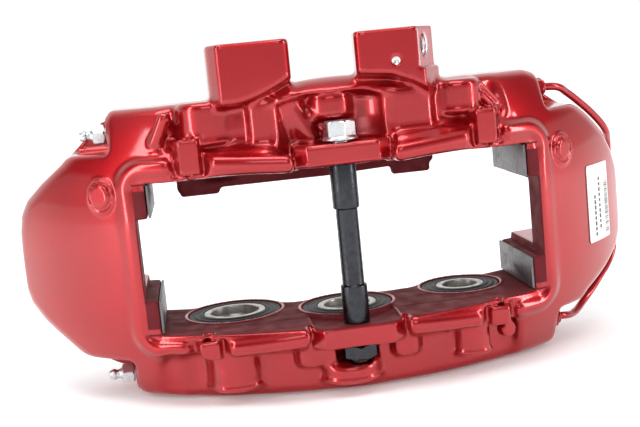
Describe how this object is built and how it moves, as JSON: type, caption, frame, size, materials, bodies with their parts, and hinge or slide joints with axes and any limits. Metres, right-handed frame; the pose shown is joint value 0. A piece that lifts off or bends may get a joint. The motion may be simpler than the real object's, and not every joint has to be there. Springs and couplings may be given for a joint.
{
  "type": "fixed brake caliper",
  "caption": "Fixed monobloc brake caliper with opposed pistons, a bridge bolt and sleeve across its window, radial mounting lugs, bleed screws and a crossover pipe.",
  "frame": {"origin": "bottom centre of the whole object's box, on the plane it stands on with its outboard side down", "axes": "+X along the caliper, from the bleed screws to the crossover pipe; +Y towards the wheel's axle; +Z inboard, along the axle, from the outboard half up to the mounting lugs"},
  "size_m": [0.4016, 0.1308, 0.206],
  "materials": {
    "red_paint": "satin metallic red paint with a clear coat, over cast aluminium; machined faces bare",
    "piston_steel": "turned, dull grey rim with a darker inside",
    "rubber": "matt black moulded rubber",
    "black_steel": "black plated steel, semi-gloss, turned",
    "zinc_steel": "bright zinc plating",
    "plate_steel": "ground stainless steel, dull",
    "label_film": "white coated film with plain printed bars"
  },
  "bodies": {
    "caliper": {"abutment_plate_inboard_left": "plate_steel", "abutment_plate_inboard_right": "plate_steel", "abutment_plate_outboard_left": "plate_steel", "abutment_plate_outboard_right": "plate_steel", "abutment_screw_inboard_left": "zinc_steel", "abutment_screw_inboard_right": "zinc_steel", "abutment_screw_outboard_left": "zinc_steel", "abutment_screw_outboard_right": "zinc_steel", "bridge_bolt": "zinc_steel", "bridge_nut": "black_steel", "bridge_sleeve": "black_steel", "caliper_body": "red_paint", "crossover_pipe": "red_paint", "inboard_boot_large": "rubber", "inboard_boot_medium": "rubber", "inboard_boot_small": "rubber", "inboard_seal_large": "rubber", "inboard_seal_medium": "rubber", "inboard_seal_small": "rubber", "label": "label_film", "outboard_boot_large": "rubber", "outboard_boot_medium": "rubber", "outboard_boot_small": "rubber", "outboard_seal_large": "rubber", "outboard_seal_medium": "rubber", "outboard_seal_small": "rubber", "pipe_nut_inboard": "red_paint", "pipe_nut_outboard": "red_paint"},
    "inboard_piston_large": {"inboard_piston_large": "piston_steel"},
    "inboard_piston_medium": {"inboard_piston_medium": "piston_steel"},
    "inboard_piston_small": {"inboard_piston_small": "piston_steel"},
    "outboard_piston_large": {"outboard_piston_large": "piston_steel"},
    "outboard_piston_medium": {"outboard_piston_medium": "piston_steel"},
    "outboard_piston_small": {"outboard_piston_small": "piston_steel"},
    "bleed_screw_inboard": {"bleed_screw_inboard": "zinc_steel"},
    "bleed_screw_outboard": {"bleed_screw_outboard": "zinc_steel"}
  },
  "joints": [
    {"name": "inboard_piston_large_slide", "type": "slide", "parent": "caliper", "child": "inboard_piston_large", "axis": [0, 0, -1], "range_m": [0, 0.0115], "deforming": ["inboard_boot_large"]},
    {"name": "inboard_piston_medium_slide", "type": "slide", "parent": "caliper", "child": "inboard_piston_medium", "axis": [0, 0, -1], "range_m": [0, 0.0115], "deforming": ["inboard_boot_medium"]},
    {"name": "inboard_piston_small_slide", "type": "slide", "parent": "caliper", "child": "inboard_piston_small", "axis": [0, 0, -1], "range_m": [0, 0.0115], "deforming": ["inboard_boot_small"]},
    {"name": "outboard_piston_large_slide", "type": "slide", "parent": "caliper", "child": "outboard_piston_large", "axis": [0, 0, 1], "range_m": [0, 0.0115], "deforming": ["outboard_boot_large"]},
    {"name": "outboard_piston_medium_slide", "type": "slide", "parent": "caliper", "child": "outboard_piston_medium", "axis": [0, 0, 1], "range_m": [0, 0.0115], "deforming": ["outboard_boot_medium"]},
    {"name": "outboard_piston_small_slide", "type": "slide", "parent": "caliper", "child": "outboard_piston_small", "axis": [0, 0, 1], "range_m": [0, 0.0115], "deforming": ["outboard_boot_small"]},
    {"name": "bleed_screw_inboard_turn", "type": "hinge", "parent": "caliper", "child": "bleed_screw_inboard", "pos_m": [-0.131, 0.0021, 0.161], "axis": [-1, 0, 0], "range_deg": [0, 180]},
    {"name": "bleed_screw_outboard_turn", "type": "hinge", "parent": "caliper", "child": "bleed_screw_outboard", "pos_m": [-0.131, 0.0021, 0.015], "axis": [-1, 0, 0], "range_deg": [0, 180]}
  ]
}
